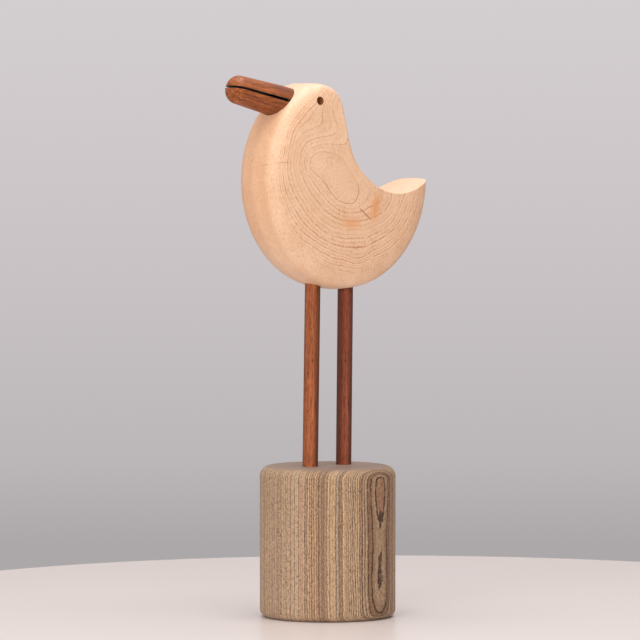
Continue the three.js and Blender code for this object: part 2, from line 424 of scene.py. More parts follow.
def edge_radii(points, inward):
    """The radius of the sawn edge's rounding at each of its points."""
    run = np.r_[0, np.cumsum(np.linalg.norm(np.diff(points, axis=0), axis=1))]
    head_and_neck = run[np.argmax(points[:, 1] < HEAD_TOP / 2)]
    beyond = (run - head_and_neck) / (run[-1] - head_and_neck)
    share = np.clip((beyond - SOFT_EDGE_END) / (CRISP_EDGE_START - SOFT_EDGE_END), 0, 1)
    share = share * share * (3 - 2 * share)
    radii = SOFT_EDGE + (CRISP_EDGE - SOFT_EDGE) * share
    on_head = np.clip(run / HEAD_EDGE_RUN, 0, 1)
    radii += (HEAD_EDGE - SOFT_EDGE) * np.cos(math.pi / 2 * on_head) ** 2
    from_axis = np.linalg.norm(points, axis=1)
    outward = np.sum(points * inward, axis=1) / from_axis
    room = np.where(outward > 0, (BODY_RADIUS - from_axis) / np.maximum(outward, 1e-6), HEAD_EDGE)
    thickest = EDGE_SHARE_OF_THICKNESS * disc_half_thickness(from_axis)
    return np.minimum(np.minimum(radii, thickest), room)


def nearest_on(outline, points):
    """Each point's distance to the sawn outline, the edge radius there, and if it is on the wood's side."""
    line, inward, radii = outline
    start, run = line[:-1], np.diff(line, axis=0)
    rel = points[:, None, :] - start[None, :, :]
    share = np.clip(np.sum(rel * run, axis=2) / np.sum(run * run, axis=1), 0, 1)
    away = rel - share[:, :, None] * run
    distance = np.linalg.norm(away, axis=2)
    best = np.argmin(distance, axis=1)
    rows = np.arange(len(points))
    share = share[rows, best]
    side = np.sum(away[rows, best] * inward[best], axis=1) > -1e-6
    return distance[rows, best], radii[best] * (1 - share) + radii[best + 1] * share, side


def half_thickness(outline, points):
    """Half-thickness of the carved body at points of its side view."""
    distance, radii, _ = nearest_on(outline, points)
    inside = np.clip(radii - distance, 0, radii)
    spread = 1 + HEAD_SPREAD * np.clip((radii - SOFT_EDGE) / (HEAD_EDGE - SOFT_EDGE), 0, 1)
    drop = spread * (radii - np.sqrt(np.maximum(radii ** 2 - inside ** 2, 0)))
    return np.maximum(disc_half_thickness(np.linalg.norm(points, axis=1)) - drop, 0)


def side_view(outline):
    """Triangles of the body's side view: rings of the disc, and rows along the sawn edge."""
    line, inward, radii = outline
    points = []
    edges = []

    def add_row(row, closed=False):
        first = len(points)
        points.extend(row)
        edges.extend((first + i, first + i + 1) for i in range(len(row) - 1))
        if closed:
            edges.append((first + len(row) - 1, first))

    tip_turn = math.atan2(line[-1][1], line[-1][0])
    forehead_turn = math.atan2(line[0][1], line[0][0]) - 2 * math.pi
    belly_steps = round((tip_turn - forehead_turn) / (2 * math.pi / DISC_SIDES))
    belly = arc((0, 0), BODY_RADIUS, tip_turn, forehead_turn, belly_steps)[1:-1]
    add_row([tuple(p) for p in line] + belly, closed=True)
    boundary = len(points)

    for step in range(EDGE_STEPS):
        depth = 1 - math.sin(math.pi / 2 * step / EDGE_STEPS)
        offset = line + inward * (radii * depth)[:, None]
        row = [tuple(p) for p, r in zip(offset, radii) if r > THINNEST_ROW]
        add_row(row)

    flat_radii = np.arange(CHEEK_RING_GAP, SHOULDER_START_RADIUS - 1, CHEEK_RING_GAP)
    for radius in list(flat_radii) + disc_radii()[:-1]:
        on_cheek = radius < SHOULDER_START_RADIUS
        sides = max(8, round(math.tau * radius / CHEEK_RING_GAP)) if on_cheek else DISC_SIDES
        ring = np.array(arc((0, 0), radius, 0, math.tau * (1 - 1 / sides), sides - 1))
        distance, edge, wood = nearest_on(outline, ring)
        keep = wood & (distance > edge + ROW_GAP)
        if on_cheek:
            points.extend(tuple(p) for p in ring[keep])
            continue
        index = np.full(sides, -1)
        index[keep] = len(points) + np.arange(keep.sum())
        points.extend(tuple(p) for p in ring[keep])
        edges.extend((index[i], index[(i + 1) % sides]) for i in range(sides)
                     if keep[i] and keep[(i + 1) % sides])
    vectors = [Vector(p) for p in points]
    loop = list(range(boundary))
    result = delaunay_2d_cdt(vectors, [(int(a), int(b)) for a, b in edges], [loop], 1, 1e-6)
    return np.array([tuple(v) for v in result[0]]), [tuple(f) for f in result[2]]


def bird_body():
    """Half of the body, lifted from its side view by its half-thickness, then mirrored and drilled."""
    outline = sawn_outline()
    flat, triangles = side_view(outline)
    height = half_thickness(outline, flat)

    sides = dict.fromkeys(side for face in triangles for side in zip(face, face[1:] + face[:1]))
    border = [(a, b) for a, b in sides if (b, a) not in sides]
    sawn_distance = nearest_on(outline, flat)[0]
    sawn_edges = [(a, b) for a, b in border if max(sawn_distance[a], sawn_distance[b]) < ON_LINE]
    on_wall = {i for edge in sawn_edges for i in edge}
    for edge in set(border) - set(sawn_edges):
        height[list(edge)] = 0

    points = [(x, -h, z) for (x, z), h in zip(flat, height)]
    faces = [list(face) for face in triangles]
    below = {i: [i] for i in on_wall}
    for i in on_wall:
        for step in range(1, WALL_STEPS + 1):
            x, z = flat[i]
            below[i].append(len(points))
            points.append((x, -height[i] * (1 - step / WALL_STEPS), z))
    for a, b in sawn_edges:
        for step in range(WALL_STEPS):
            faces.append([below[a][step], below[a][step + 1], below[b][step + 1], below[b][step]])
    count = len(points)
    points += [(x, -y, z) for x, y, z in points]
    faces += [[count + i for i in reversed(face)] for face in faces]
    placed = [BODY_CENTRE + Vector(p) for p in points]
    body = piece_from("carved_body", placed, faces)
    carved(body, body_cutters())
    return body


def body_cutters():
    """The beak's socket, the eye hole with its softened lip, and the legs' sockets."""
    socket = bore(BEAK_ROOT_RADIUS + GLUE_GAP, -BEAK_DEPTH_IN_HEAD - GLUE_GAP, BEAK_LENGTH)
    cutters = [turned("beak_socket_cutter", socket, SOCKET_SIDES, beak_frame())]

    radial = Vector((EYE_FORWARD, EYE_HEIGHT)).length
    surface = float(disc_half_thickness(radial))
    outside = surface + OVERRUN
    half = [(EYE_RADIUS, 0)]
    half += [(EYE_RADIUS + EYE_LIP - x, surface - EYE_LIP + y)
             for x, y in arc((0, 0), EYE_LIP, 0, math.pi / 2, EYE_LIP_STEPS)]
    half += [(EYE_RADIUS + EYE_LIP, outside), (0, outside)]
    profile = [(x, -y) for x, y in reversed(half[1:])] + half[1:]
    eye_place = Matrix.Translation(BODY_CENTRE + Vector((-EYE_FORWARD, 0, EYE_HEIGHT)))
    eye_place @= Matrix.Rotation(math.pi / 2, 4, "X")
    cutters.append(turned("eye_cutter", profile, EYE_SIDES, eye_place))
    return cutters + leg_cutters(1)


# ---------- beak

BEAK_SIDES = 96
BEAK_STEPS = 6
BEAK_TIP_STEPS = 12


def beak():
    profile = [(0, -BEAK_DEPTH_IN_HEAD), (BEAK_ROOT_RADIUS, -BEAK_DEPTH_IN_HEAD), (BEAK_ROOT_RADIUS, 0)]
    taper = BEAK_LENGTH - BEAK_TIP_ROUNDING
    narrowing = BEAK_TIP_RADIUS - BEAK_ROOT_RADIUS
    profile += [(BEAK_ROOT_RADIUS + narrowing * i / BEAK_STEPS, taper * i / BEAK_STEPS)
                for i in range(1, BEAK_STEPS)]
    tip_centre = (BEAK_TIP_RADIUS - BEAK_TIP_ROUNDING, taper)
    profile += arc(tip_centre, BEAK_TIP_ROUNDING, 0, math.pi / 2, BEAK_TIP_STEPS)
    profile += [(0, BEAK_LENGTH)]
    rod = turned("split_beak", profile, BEAK_SIDES, beak_frame())
    carved(rod, [mouth_cutter()])
    softened(rod, MOUTH_EDGE, MOUTH_EDGE_SEGMENTS, SHARP_OVER)
    return rod


def mouth_cutter():
    """The saw cut of the mouth, a wedge right across the beak."""
    wide, narrow = MOUTH_GAP_AT_HEAD / 2, MOUTH_GAP_AT_TIP / 2
    middle = MOUTH_HEIGHT_ABOVE_AXIS
    reach = BEAK_ROOT_RADIUS + OVERRUN
    past_tip = BEAK_LENGTH + OVERRUN
    section = [(middle - wide, 0), (middle + wide, 0),
               (middle + narrow, past_tip), (middle - narrow, past_tip)]
    points = [beak_frame() @ Vector((x, y, z)) for y in (-reach, reach) for x, z in section]
    faces = [[0, 1, 2, 3], [7, 6, 5, 4]] + [[i, (i + 1) % 4, (i + 1) % 4 + 4, i + 4] for i in range(4)]
    return piece_from("mouth_cutter", points, faces)


# ---------- material tools

SWAY_GAIN = 2.5
COAT_ROUGHNESS = 0.35


def linear(colour):
    """A linear colour with alpha from sRGB levels of 0 to 255."""
    shares = [c / 255 for c in colour]
    return [c / 12.92 if c <= 0.04045 else ((c + 0.055) / 1.055) ** 2.4 for c in shares] + [1.0]


def fill(node, values):
    """Sets a node's inputs by name."""
    for name, value in values.items():
        node.inputs[name].default_value = value


def set_stops(node, stops):
    """Sets a colour ramp's stops, given as positions and sRGB colours."""
    elements = node.color_ramp.elements
    while len(elements) < len(stops):
        elements.new(1)
    for element, (position, colour) in zip(elements, stops):
        element.position = position
        element.color = linear(colour)


class Wood:
    """One wood's node tree, with short calls for the sums and noises of its grain, all in millimetres."""

    def __init__(self, name):
        self.material = bpy.data.materials.new(name)
        self.material.use_nodes = True
        self.tree = self.material.node_tree
        self.shader = self.tree.nodes["Principled BSDF"]
        coordinates = self.tree.nodes.new("ShaderNodeTexCoord")
        self.place = self.vector("SCALE", coordinates.outputs["Object"], scale=1 / MM)
        self.axes = self.parts(self.place)
        self.x, self.y, self.z = self.axes

    def link(self, value, socket):
        if isinstance(value, bpy.types.NodeSocket):
            self.tree.links.new(value, socket)
        else:
            socket.default_value = value

    def math(self, operation, *values):
        node = self.tree.nodes.new("ShaderNodeMath")
        node.operation = operation
        for socket, value in zip(node.inputs, values):
            self.link(value, socket)
        return node.outputs[0]

    def add(self, first, *others):
        for other in others:
            first = self.math("ADD", first, other)
        return first

    def times(self, first, *others):
        for other in others:
            first = self.math("MULTIPLY", first, other)
        return first

    def weighed(self, weights, *values):
        """The first weight, plus each value times its own weight."""
        return self.add(weights[0], *[self.times(value, w) for value, w in zip(values, weights[1:])])

    def between(self, share, low, high):
        """From low at a share of 0 to high at a share of 1."""
        return self.add(self.times(share, high - low), low)

    def vector(self, operation, *values, scale=None):
        node = self.tree.nodes.new("ShaderNodeVectorMath")
        node.operation = operation
        for socket, value in zip(node.inputs, values):
            self.link(value, socket)
        if scale is not None:
            self.link(scale, node.inputs["Scale"])
        return node.outputs["Value" if operation in ("DOT_PRODUCT", "LENGTH") else "Vector"]

    def normal(self):
        return self.tree.nodes.new("ShaderNodeNewGeometry").outputs["Normal"]

    def parts(self, vector):
        node = self.tree.nodes.new("ShaderNodeSeparateXYZ")
        self.link(vector, node.inputs[0])
        return node.outputs

    def join(self, x, y, z):
        node = self.tree.nodes.new("ShaderNodeCombineXYZ")
        for socket, value in zip(node.inputs, (x, y, z)):
            self.link(value, socket)
        return node.outputs[0]

    def turned_place(self, matrix):
        """The place in another frame, given that frame's matrix in millimetres."""
        inverse = matrix.inverted()
        rows = [self.vector("DOT_PRODUCT", self.place, Vector(inverse[i][:3])) for i in range(3)]
        return [self.add(row, inverse[i][3]) for i, row in enumerate(rows)]

    def noise(self, place, size, detail=2.0, roughness=0.5):
        """Soft noise from 0 to 1 with features of about that size."""
        node = self.tree.nodes.new("ShaderNodeTexNoise")
        self.link(place, node.inputs["Vector"])
        fill(node, {"Scale": 1 / size, "Detail": detail, "Roughness": roughness})
        return node.outputs["Fac"]

    def grain(self, axes, sizes, detail, roughness=0.5):
        """Soft noise from 0 to 1 with features of about the given size along each axis."""
        scaled = self.join(*[self.times(axis, 1 / size) for axis, size in zip(axes, sizes)])
        return self.noise(scaled, 1, detail, roughness)

    def sway(self, place, size, amount, detail=1.0):
        """Noise about zero, from about -amount to +amount."""
        return self.times(self.add(self.noise(place, size, detail), -0.5), SWAY_GAIN * amount)

    def random(self, value):
        node = self.tree.nodes.new("ShaderNodeTexWhiteNoise")
        node.noise_dimensions = "1D"
        self.link(value, node.inputs["W"])
        return node.outputs["Value"]

    def step(self, value, low, high):
        """0 below low, 1 above high, and smooth between."""
        node = self.tree.nodes.new("ShaderNodeMapRange")
        node.interpolation_type = "SMOOTHSTEP"
        self.link(value, node.inputs["Value"])
        self.link(low, node.inputs["From Min"])
        self.link(high, node.inputs["From Max"])
        return node.outputs["Result"]

    def ridge(self, value, middle, half_width):
        """1 at the middle, falling to 0 at the half-width on either side."""
        away = self.math("ABSOLUTE", self.add(value, -middle))
        return self.step(away, half_width, 0.0)

    def spot(self, first, second, centre, sizes, tilt=0.0):
        """A soft oval spot in a plane, 1 at its centre."""
        du = self.add(first, -centre[0])
        dv = self.add(second, -centre[1])
        cos, sin = math.cos(tilt), math.sin(tilt)
        along_axis = self.times(self.add(self.times(du, cos), self.times(dv, sin)), 1 / sizes[0])
        across = self.times(self.add(self.times(dv, cos), self.times(du, -sin)), 1 / sizes[1])
        square = self.add(self.times(along_axis, along_axis), self.times(across, across))
        return self.math("EXPONENT", self.times(square, -1.0))

    def ramp(self, factor, stops):
        node = self.tree.nodes.new("ShaderNodeValToRGB")
        self.link(factor, node.inputs[0])
        set_stops(node, stops)
        return node.outputs["Color"]

    def mix(self, factor, first, second):
        node = self.tree.nodes.new("ShaderNodeMix")
        node.data_type = "RGBA"
        self.link(factor, node.inputs["Factor"])
        for socket, value in ((node.inputs["A"], first), (node.inputs["B"], second)):
            self.link(value if isinstance(value, bpy.types.NodeSocket) else linear(value), socket)
        return node.outputs["Result"]

    def overlay(self, colour, value, layer, *masks):
        """Mixes in a layer's colour. The layer says where the value starts and fills it, and its strength."""
        (start, full), strength, over = layer
        return self.mix(self.times(self.step(value, start, full), *masks, strength), colour, over)

    def finish(self, colour, roughness, height, coat=0.0, specular=0.5):
        """Sets the shader: colour, roughness, and a bump from a height in millimetres."""
        bump = self.tree.nodes.new("ShaderNodeBump")
        fill(bump, {"Strength": 1.0, "Distance": MM})
        self.link(height, bump.inputs["Height"])
        self.link(colour, self.shader.inputs["Base Color"])
        self.link(roughness, self.shader.inputs["Roughness"])
        self.tree.links.new(bump.outputs["Normal"], self.shader.inputs["Normal"])
        fill(self.shader,
             {"Coat Weight": coat, "Coat Roughness": COAT_ROUGHNESS, "Specular IOR Level": specular})
        return self.material


# ---------- maple of the body

# Growth layers lie nearly parallel to the middle plane. Their count rises by these shares of the plain and
# squared distances from the disc's centre, in grain units, and by bumps: centre, sizes, tilt and height.
# The bumps' places and sizes and the last height are chosen. The level, the slope, the bowl and the other
# heights come from a least-squares fit, made outside this script, to rings traced by eye.
MAPLE_RING = 0.95
GRAIN_UNIT = 50
GRAIN_LEVEL = 0.59
GRAIN_SLOPE = (0.9, -2.61)
GRAIN_BOWL = (4.83, 5.75, 1.17)
GRAIN_BUMPS = (
    ((-18, 27), (16, 9), 0, 1.88),
    ((-10, 20), (8, 8), 0, 0.54),
    ((-28, 42), (14, 12), 0, 0.5),
    ((-4, 46), (14, 20), 0, -1.61),
    ((4, 9), (14, 8), -40, 1.92),
    ((-27, 9), (9, 7), 0, -1.46),
    ((-10, -8), (16, 7), -30, -0.74),
    ((20, -12), (10, 10), 0, -0.65),
    ((4, -39.5), (7, 4.5), 0, -0.7),
)

# The layers wander by noises of this size, amount and detail, but not where they are cut steeply.
RING_WANDER = ((16, 0.9, 1), (5, 0.6, 2), (1.1, 0.2, 1))
WANDER_STEEPNESS = 0.45

# A line runs along each layer's edge, and a faint one through its middle. The island inside the first line
# is plain, and that line is bold.
LINE_HALF_WIDTH = 0.32
LINE_CORE = 0.25
LINE_STRENGTH = 0.82
LINE_COLOUR = (178, 92, 34)
FAINT_LINE_CORE = 0.2
FAINT_LINE_STRENGTH = 0.42
BOLD_LINE = 1
BOLD_LINE_UNBROKEN = 0.85
ISLAND_EDGE = (0.75, 0.85)
WEAKEST_LINE = 0.4
BREAK_SIZE = 5
BREAK_EDGE = (0.36, 0.56)
WEAKEST_BREAK = 0.25
STEEP_EDGE = (0.65, 0.3)
WEAKEST_STEEP_LINE = 0.2

MOTTLE_SIZE = 14
MAPLE_TONES = ((0.3, (238, 199, 166)), (0.7, (247, 211, 180)))
MAPLE_FIBRE_SIZES = (0.6, 0.6, 1.5)
FLECK_SIZES = (0.6, 0.6, 1.3)
FLECK_PATCH_SIZE = 9
FLECK_PATCH_EDGE = (0.46, 0.6)

# Overlays of colour: where the value that steers one starts it and fills it, its strength and its colour.
LATE_WOOD = ((0.0, 1.0), 0.12, (214, 158, 112))
DARK_FIBRES = ((0.45, 0.75), 0.55, (206, 146, 100))
PALE_FIBRES = ((0.5, 0.25), 0.4, (252, 216, 184))
# Painted sheen: the faces that look up are painted paler, as light from above makes them look.
PAINTED_TOP_SHEEN = ((0.7, 1.0), 0.12, (252, 230, 212))
# Painted shade: the rim, turned away from the light, is painted darker and a warmer orange.
PAINTED_RIM_SHADE = ((0.6, 0.25), 0.25, (228, 162, 108))
DARK_DASH = ((0.3, 0.65), 0.7, (146, 66, 26))
FLECKS = ((0.68, 0.76), 0.6, (140, 82, 48))
HAIRLINES = ((-42, -46), 0.5, (170, 92, 44))
DARK_EYE_HOLE = ((EYE_RADIUS + 0.2, EYE_RADIUS + 0.05), 1.0, (146, 96, 58))

RIM_ABOVE_UNDERSIDE = (-0.8, -0.3)
RIM_BELOW_TOP = (0.8, 0.5)

# Spots on the near cheek, as centre, sizes and tilt from the disc's centre: warm mineral marks and a dash.
NEAR_CHEEK = (0, -8)
MINERAL_STRENGTH = 0.65
MINERAL_COLOUR = (228, 142, 66)
TAIL_MARK = ((14.2, -14), (6.5, 2.8), math.radians(75))
BELLY_MARK = ((-2.5, -22), (6, 3.4))
BELLY_MARK_STRENGTH = 0.7
DASH = ((7, -17.5), (6.4, 0.36), math.radians(-36))

# Hairline checks across the shoulder, in the plane seen from the front.
CHECKS = (((-8.5, 8.2), (2.6, 0.24), math.radians(-7)),
          ((-14.2, 9.4), (1.6, 0.24), math.radians(-12)))

# Roughness: plain, and what the mottle and the lines add to it.
MAPLE_ROUGHNESS = (0.44, 0.08, -0.05)
MAPLE_FIBRE_HEIGHT = 0.014
MAPLE_COAT = 0.1


def growth_layers(wood, u, v):
    """The count of growth layers at a place, and how fast it rises along the surface, per millimetre."""
    a = wood.times(u, 1 / GRAIN_UNIT)
    b = wood.times(v, 1 / GRAIN_UNIT)
    slope_a, slope_b = GRAIN_SLOPE
    bowl_a, bowl_b, bowl_ab = GRAIN_BOWL
    depth = wood.times(wood.add(wood.y, CHEEK_HALF_THICKNESS), 1 / MAPLE_RING)
    layers = wood.add(depth, GRAIN_LEVEL, wood.times(a, slope_a), wood.times(b, slope_b),
                      wood.times(a, a, bowl_a), wood.times(b, b, bowl_b), wood.times(a, b, bowl_ab))
    for centre, sizes, tilt, height in GRAIN_BUMPS:
        layers = wood.add(layers, wood.times(wood.spot(u, v, centre, sizes, math.radians(tilt)), height))
    rise_a = wood.add(slope_a, wood.times(a, 2 * bowl_a), wood.times(b, bowl_ab))
    rise_b = wood.add(slope_b, wood.times(b, 2 * bowl_b), wood.times(a, bowl_ab))
    rise = wood.join(wood.times(rise_a, 1 / GRAIN_UNIT), 1 / MAPLE_RING,
                     wood.times(rise_b, 1 / GRAIN_UNIT))
    along_surface = wood.vector("CROSS_PRODUCT", rise, wood.normal())
    return layers, wood.vector("LENGTH", along_surface)


def ring_lines(wood, u, v):
    """How dark the lines of the layers are, how gently they are cut, and the place within a layer."""
    layers, steepness = growth_layers(wood, u, v)
    wander = wood.add(*[wood.sway(wood.place, *noise) for noise in RING_WANDER])
    rings = wood.add(layers, wood.times(wander, wood.math("MINIMUM", steepness, WANDER_STEEPNESS)))
    number = wood.math("ROUND", rings)
    within = wood.math("FRACT", rings)
    half_width = wood.times(steepness, LINE_HALF_WIDTH)
    outside_island = wood.step(rings, *ISLAND_EDGE)

    bold = wood.step(number, BOLD_LINE + 0.6, BOLD_LINE + 0.1)
    strength = wood.math("MAXIMUM", wood.between(wood.random(number), WEAKEST_LINE, 1), bold)
    breaks = wood.step(wood.noise(wood.place, BREAK_SIZE, 3), *BREAK_EDGE)
    broken = wood.math("MAXIMUM", wood.between(breaks, WEAKEST_BREAK, 1),
                       wood.times(bold, BOLD_LINE_UNBROKEN))
    gentle = wood.between(wood.step(steepness, *STEEP_EDGE), WEAKEST_STEEP_LINE, 1)

    from_edge = wood.math("ABSOLUTE", wood.add(rings, wood.times(number, -1)))
    line = wood.step(from_edge, half_width, wood.times(half_width, LINE_CORE))
    line = wood.times(line, strength, broken, gentle, outside_island)
    from_middle = wood.math("ABSOLUTE", wood.add(within, -0.5))
    faint = wood.step(from_middle, half_width, wood.times(half_width, FAINT_LINE_CORE))
    faint = wood.times(faint, broken, gentle, outside_island, FAINT_LINE_STRENGTH)
    return wood.math("MAXIMUM", line, faint), gentle, within


def maple_marks(wood, colour, u, v):
    """Adds what the near cheek and the shoulder show, the flecks and the darker eye hole."""
    near = wood.step(wood.y, *NEAR_CHEEK)
    belly_mark = wood.times(wood.spot(u, v, *BELLY_MARK), BELLY_MARK_STRENGTH)
    warm = wood.add(wood.spot(u, v, *TAIL_MARK), belly_mark)
    colour = wood.mix(wood.times(warm, near, MINERAL_STRENGTH), colour, MINERAL_COLOUR)
    colour = wood.overlay(colour, wood.spot(u, v, *DASH), DARK_DASH, near)
    patches = wood.step(wood.noise(wood.place, FLECK_PATCH_SIZE, 2), *FLECK_PATCH_EDGE)
    colour = wood.overlay(colour, wood.grain(wood.axes, FLECK_SIZES, 1), FLECKS, patches)
    checks = wood.math("MAXIMUM", *[wood.spot(wood.y, v, *check) for check in CHECKS])
    colour = wood.overlay(colour, u, HAIRLINES, checks)
    from_eye = wood.vector("LENGTH", wood.join(wood.add(u, EYE_FORWARD), wood.add(v, -EYE_HEIGHT), 0.0))
    return wood.overlay(colour, from_eye, DARK_EYE_HOLE)


def maple():
    """Pale maple in growth layers, with short fibres that run up the bird."""
    wood = Wood("maple_wood")
    u = wood.add(wood.x, -BODY_CENTRE.x)
    v = wood.add(wood.z, -BODY_CENTRE.z)
    line, gentle, within = ring_lines(wood, u, v)
    mottle = wood.noise(wood.place, MOTTLE_SIZE, 3, 0.55)
    fibres = wood.grain(wood.axes, MAPLE_FIBRE_SIZES, 3, 0.7)

    colour = wood.ramp(mottle, MAPLE_TONES)
    colour = wood.overlay(colour, within, LATE_WOOD, gentle)
    colour = wood.overlay(colour, fibres, DARK_FIBRES)
    colour = wood.overlay(colour, fibres, PALE_FIBRES)
    colour = wood.mix(wood.times(line, LINE_STRENGTH), colour, LINE_COLOUR)

    # The sawn faces that look up are painted paler, a painted sheen of the light from above, and the rim is
    # painted darker and warmer, a painted shade, except underneath.
    _, sideways, upwards = wood.parts(wood.normal())
    colour = wood.overlay(colour, upwards, PAINTED_TOP_SHEEN)
    colour = wood.overlay(colour, wood.math("ABSOLUTE", sideways), PAINTED_RIM_SHADE,
                          wood.step(upwards, *RIM_ABOVE_UNDERSIDE), wood.step(upwards, *RIM_BELOW_TOP))
    colour = maple_marks(wood, colour, u, v)

    roughness = wood.weighed(MAPLE_ROUGHNESS, mottle, line)
    return wood.finish(colour, roughness, wood.times(fibres, MAPLE_FIBRE_HEIGHT), MAPLE_COAT)


# ---------- walnut of the legs and the beak

# Tones, light to dark. The rear leg's are a darker copy of the walnut, a painted shade where the front leg
# blocks the light.
BEAK_TONES = ((190, 114, 62), (156, 84, 40), (98, 47, 24))
FRONT_LEG_TONES = ((192, 116, 76), (163, 94, 60), (112, 60, 38))
SHADED_REAR_LEG_TONES = ((162, 91, 66), (136, 74, 53), (94, 47, 33))
TONE_STOPS = (0.36, 0.5, 0.64)

# Darker strips along the legs are painted shade, where the light falls off at a leg's side and the front leg
# shades the rear one, with some darker heartwood in them: the side that a strip faces, where it starts on the
# way round to that side, and how strong it is.
SHADE_AND_HEART_SIDE = Vector((0.74, -0.67, 0))
FRONT_LEG_SHADE_AND_HEART = ((SHADE_AND_HEART_SIDE, 0.05, 0.85), (-SHADE_AND_HEART_SIDE, 0.45, 0.4))
REAR_LEG_SHADE_AND_HEART = ((-SHADE_AND_HEART_SIDE, -0.2, 0.8), (SHADE_AND_HEART_SIDE, 0.3, 0.8))
SHADE_AND_HEART_FULL = 0.95
SHADE_AND_HEART_DARKNESS = 0.7

# Sizes across, across and along the piece.
BAND_SIZES = (1.4, 1.4, 45)
WALNUT_FIBRE_SIZES = (0.42, 0.42, 4)
WALNUT_PORE_SIZES = (0.34, 0.34, 2)
WAVE_SIZE = 14
WAVE_AMOUNT = 0.5

PORES = ((0.62, 0.74), 0.75)
PORE_SHADE = 0.4
# Painted shade: the beak is painted darker towards its root, under the head.
BEAK_ROOT_SHADE = ((13, 3), 0.4)
# Painted shade: the walls of the mouth's slit are painted near black.
MOUTH_SLIT_SHADE = ((0.16, 0.04), 1.0, (16, 10, 8))

# Roughness and height: plain, and what the fibres and the pores add to it.
WALNUT_ROUGHNESS = (0.42, 0.16, 0.15)
WALNUT_HEIGHT = (0, 0.02, -0.03)
BEAK_GLOSS = 0.5
LEG_GLOSS = 0.25


def shaded(colour, share):
    return tuple(level * share for level in colour)


def walnut(name, place_matrix, tones, gloss, shade_and_heart=(), mouth=False):
    """Walnut whose fibres run along the +Z axis of the given frame. The mouth's saw cut is painted near
    black, a painted shade inside the slit.
    """
    wood = Wood(name)
    light, middle, dark = tones
    x, y, z = wood.turned_place(place_matrix)
    wavy_x = wood.add(x, wood.sway(wood.place, WAVE_SIZE, WAVE_AMOUNT))
    bands = wood.grain((wavy_x, y, z), BAND_SIZES, 3, 0.55)
    fibres = wood.grain((wavy_x, y, z), WALNUT_FIBRE_SIZES, 2, 0.6)
    tone = wood.add(wood.times(bands, 0.5), wood.times(fibres, 0.5))
    colour = wood.ramp(tone, tuple(zip(TONE_STOPS, (dark, middle, light))))
    pore_noise = wood.grain((x, y, z), WALNUT_PORE_SIZES, 1)
    colour = wood.overlay(colour, pore_noise, (*PORES, shaded(dark, PORE_SHADE)))
    if mouth:
        # The beak's root is painted darker, a painted shade under the head.
        colour = wood.overlay(colour, z, (*BEAK_ROOT_SHADE, dark))
        taper = (MOUTH_GAP_AT_TIP - MOUTH_GAP_AT_HEAD) / 2 / (BEAK_LENGTH + OVERRUN)
        half_gap = wood.add(MOUTH_GAP_AT_HEAD / 2, wood.times(z, taper))
        from_middle = wood.math("ABSOLUTE", wood.add(x, -MOUTH_HEIGHT_ABOVE_AXIS))
        colour = wood.overlay(colour, wood.add(from_middle, wood.times(half_gap, -1)), MOUTH_SLIT_SHADE)
    # Painted shade strips down the legs' sides, with some darker heartwood in them.
    for side, start, strength in shade_and_heart:
        towards = wood.vector("DOT_PRODUCT", wood.normal(), side)
        strip = ((start, SHADE_AND_HEART_FULL), strength, shaded(dark, SHADE_AND_HEART_DARKNESS))
        colour = wood.overlay(colour, towards, strip)
    pores = wood.step(pore_noise, *PORES[0])
    roughness = wood.weighed(WALNUT_ROUGHNESS, fibres, pores)
    height = wood.weighed(WALNUT_HEIGHT, fibres, pores)
    return wood.finish(colour, roughness, height, specular=gloss)


# ---------- laminated wood of the block

# The sheets lie nearly parallel to the middle plane, and their depth counts from the near side. The outer
# ones are a single layer thick, and the deeper ones two.
LAYER_NORMAL = Vector((0.144, -0.99, 0)).normalized()
LAYER_TANGENT = Vector((0.99, 0.144, 0)).normalized()
LAYER = 0.56
LAYER_DIP = -0.2
THIN_SHEETS_DEPTH = 6
THIN_SHEETS_EDGE = (THIN_SHEETS_DEPTH + 0.5, THIN_SHEETS_DEPTH - 0.5)

# Where the block's side grazes the sheets, they bulge out twice and dip at the foot: centre, sizes, height.
BULGES = (((0, 66), (14, 15), 0.46), ((0, 24), (14, 18), 0.2), ((0, -2), (14, 8), -0.7))

# Slow waves, by size and amount, only in the inner sheets, and a ripple in all. Both are tall along Z.
SLOW_WAVES = ((14, 0.4), (4.5, 0.22))
SLOW_WAVE_HEIGHT = 0.4
INNER_SHEETS = (BASE_RADIUS - 0.4, BASE_RADIUS - 5)
RIPPLE = (1.7, 0.13, 2)
RIPPLE_HEIGHT = 0.35

SHEET_TONES = ((0.0, (134, 100, 76)), (0.2, (156, 118, 92)), (0.42, (184, 150, 116)),
               (0.6, (164, 138, 112)), (0.8, (144, 122, 102)), (1.0, (194, 162, 130)))
LAMINATE_FIBRE_SIZES = (0.5, 0.5, 1.5)
LAMINATE_PORE_SIZES = (0.45, 0.45, 1.5)

# Overlays of colour, as for the maple.
OUTER_SHEETS = ((1.9, 1.5), 0.5, (112, 82, 60))
OUTERMOST_SHEET = (0.1, 0.4)
PALE_CORE = ((16, 30), 0.5, (208, 182, 156))
DARK_LAMINATE_FIBRES = ((0.45, 0.7), 0.6, (112, 82, 60))
PALE_LAMINATE_FIBRES = ((0.5, 0.28), 0.42, (222, 192, 154))
LAMINATE_PORES = ((0.6, 0.7), 0.7, (70, 46, 34))
PORE_FREE_SHEETS = (0.75, 0.5)
END_GRAIN_AND_REFLECTION = ((0.8, 1.0), 0.75, (148, 128, 120))

